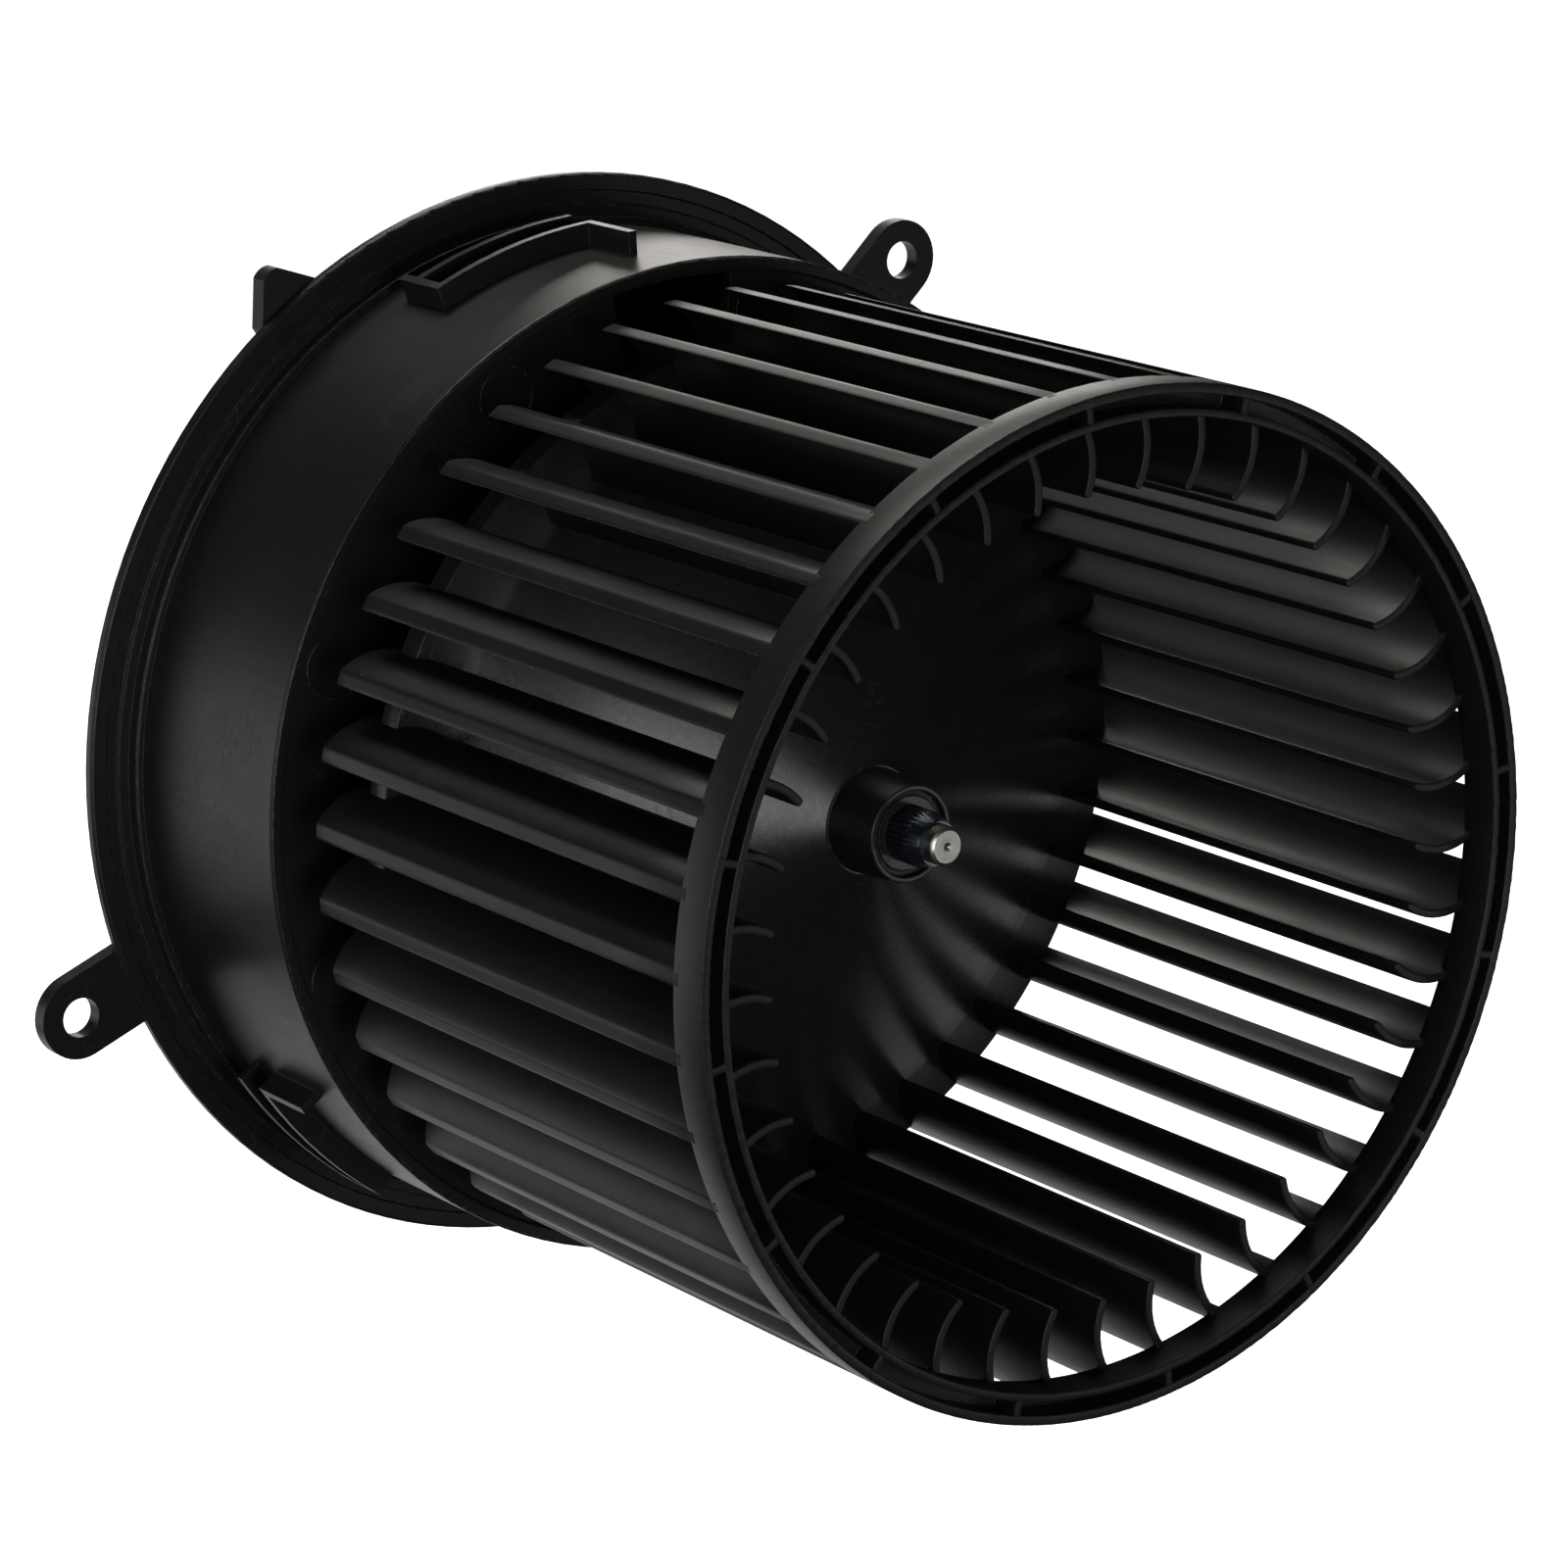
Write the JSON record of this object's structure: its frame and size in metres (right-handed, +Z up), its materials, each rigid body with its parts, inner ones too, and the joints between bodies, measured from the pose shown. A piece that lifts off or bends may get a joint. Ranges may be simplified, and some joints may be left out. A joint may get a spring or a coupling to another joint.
{
  "type": "blower motor wheel",
  "caption": "Cage fan wheel on an electric motor in a flanged housing with fixing ears, for blowing air through a heater box.",
  "frame": {"origin": "on the shaft's axis, in the plane of the flange face that seats on the air box", "axes": "shaft along Y with the wheel's mouth towards -Y, +Z up, +X to the right as seen from the mouth"},
  "size_m": [0.1816, 0.1645, 0.1734],
  "materials": {
    "wheel_plastic": "satin moulded black, fine die lines",
    "housing_plastic": "satin moulded black, slightly glossier wall",
    "hub_plastic": "semi-gloss moulded black",
    "cover_plastic": "satin moulded black with a fine grain",
    "socket_plastic": "dark grey moulded plastic",
    "shaft_steel": "ground shaft with a turned end face",
    "blued_steel": "blue-black oiled spring steel",
    "can_steel": "zinc-plated drawn steel",
    "screw_steel": "zinc-plated steel",
    "core_steel": "varnished electrical steel",
    "ferrite": "sintered ferrite",
    "copper": "enamelled copper",
    "bronze": "sintered bronze",
    "brass": "bright brass",
    "carbon": "pressed copper-graphite",
    "card": "phenolic board",
    "sleeve": "phenolic moulding",
    "rubber": "soft black rubber",
    "ceramic": "dipped ceramic",
    "tin": "tinned brass"
  },
  "bodies": {
    "housing": {"flange_housing": "housing_plastic", "rear_cover": "cover_plastic", "cover_screws": "screw_steel", "connector_housing": "socket_plastic", "terminal_left": "tin", "terminal_right": "tin", "motor_can": "can_steel", "end_plate": "can_steel", "bearing_front": "bronze", "bearing_rear": "bronze", "magnet_left": "ferrite", "magnet_right": "ferrite", "magnet_clips": "screw_steel", "rubber_ring_front": "rubber", "rubber_ring_rear": "rubber", "brush_card": "card", "brush_tubes": "brass", "brush_spring_upper": "screw_steel", "brush_spring_lower": "screw_steel", "choke_cores": "ferrite", "choke_coils": "copper", "capacitor": "ceramic"},
    "wheel": {"wheel_rim": "wheel_plastic", "wheel_blades": "wheel_plastic", "wheel_hub": "hub_plastic", "hub_insert": "hub_plastic", "shaft_retainer": "blued_steel", "motor_shaft": "shaft_steel", "armature_core": "core_steel", "armature_coils": "copper", "commutator_bars": "copper", "commutator_sleeve": "sleeve", "thrust_washers": "card"},
    "upper_brush": {"brush_upper": "carbon"},
    "lower_brush": {"brush_lower": "carbon"}
  },
  "joints": [
    {"name": "wheel_spin", "type": "hinge", "parent": "housing", "child": "wheel", "pos_m": [0, 0, 0], "axis": [0, -1, 0], "continuous": true},
    {"name": "upper_brush_slide", "type": "slide", "parent": "housing", "child": "upper_brush", "axis": [0, 0, 1], "range_m": [0, 0.003], "stiffness_N_per_m": 100, "springref_m": -0.008, "deforming": ["brush_spring_upper"]},
    {"name": "lower_brush_slide", "type": "slide", "parent": "housing", "child": "lower_brush", "axis": [0, 0, -1], "range_m": [0, 0.003], "stiffness_N_per_m": 100, "springref_m": -0.008, "deforming": ["brush_spring_lower"]}
  ]
}
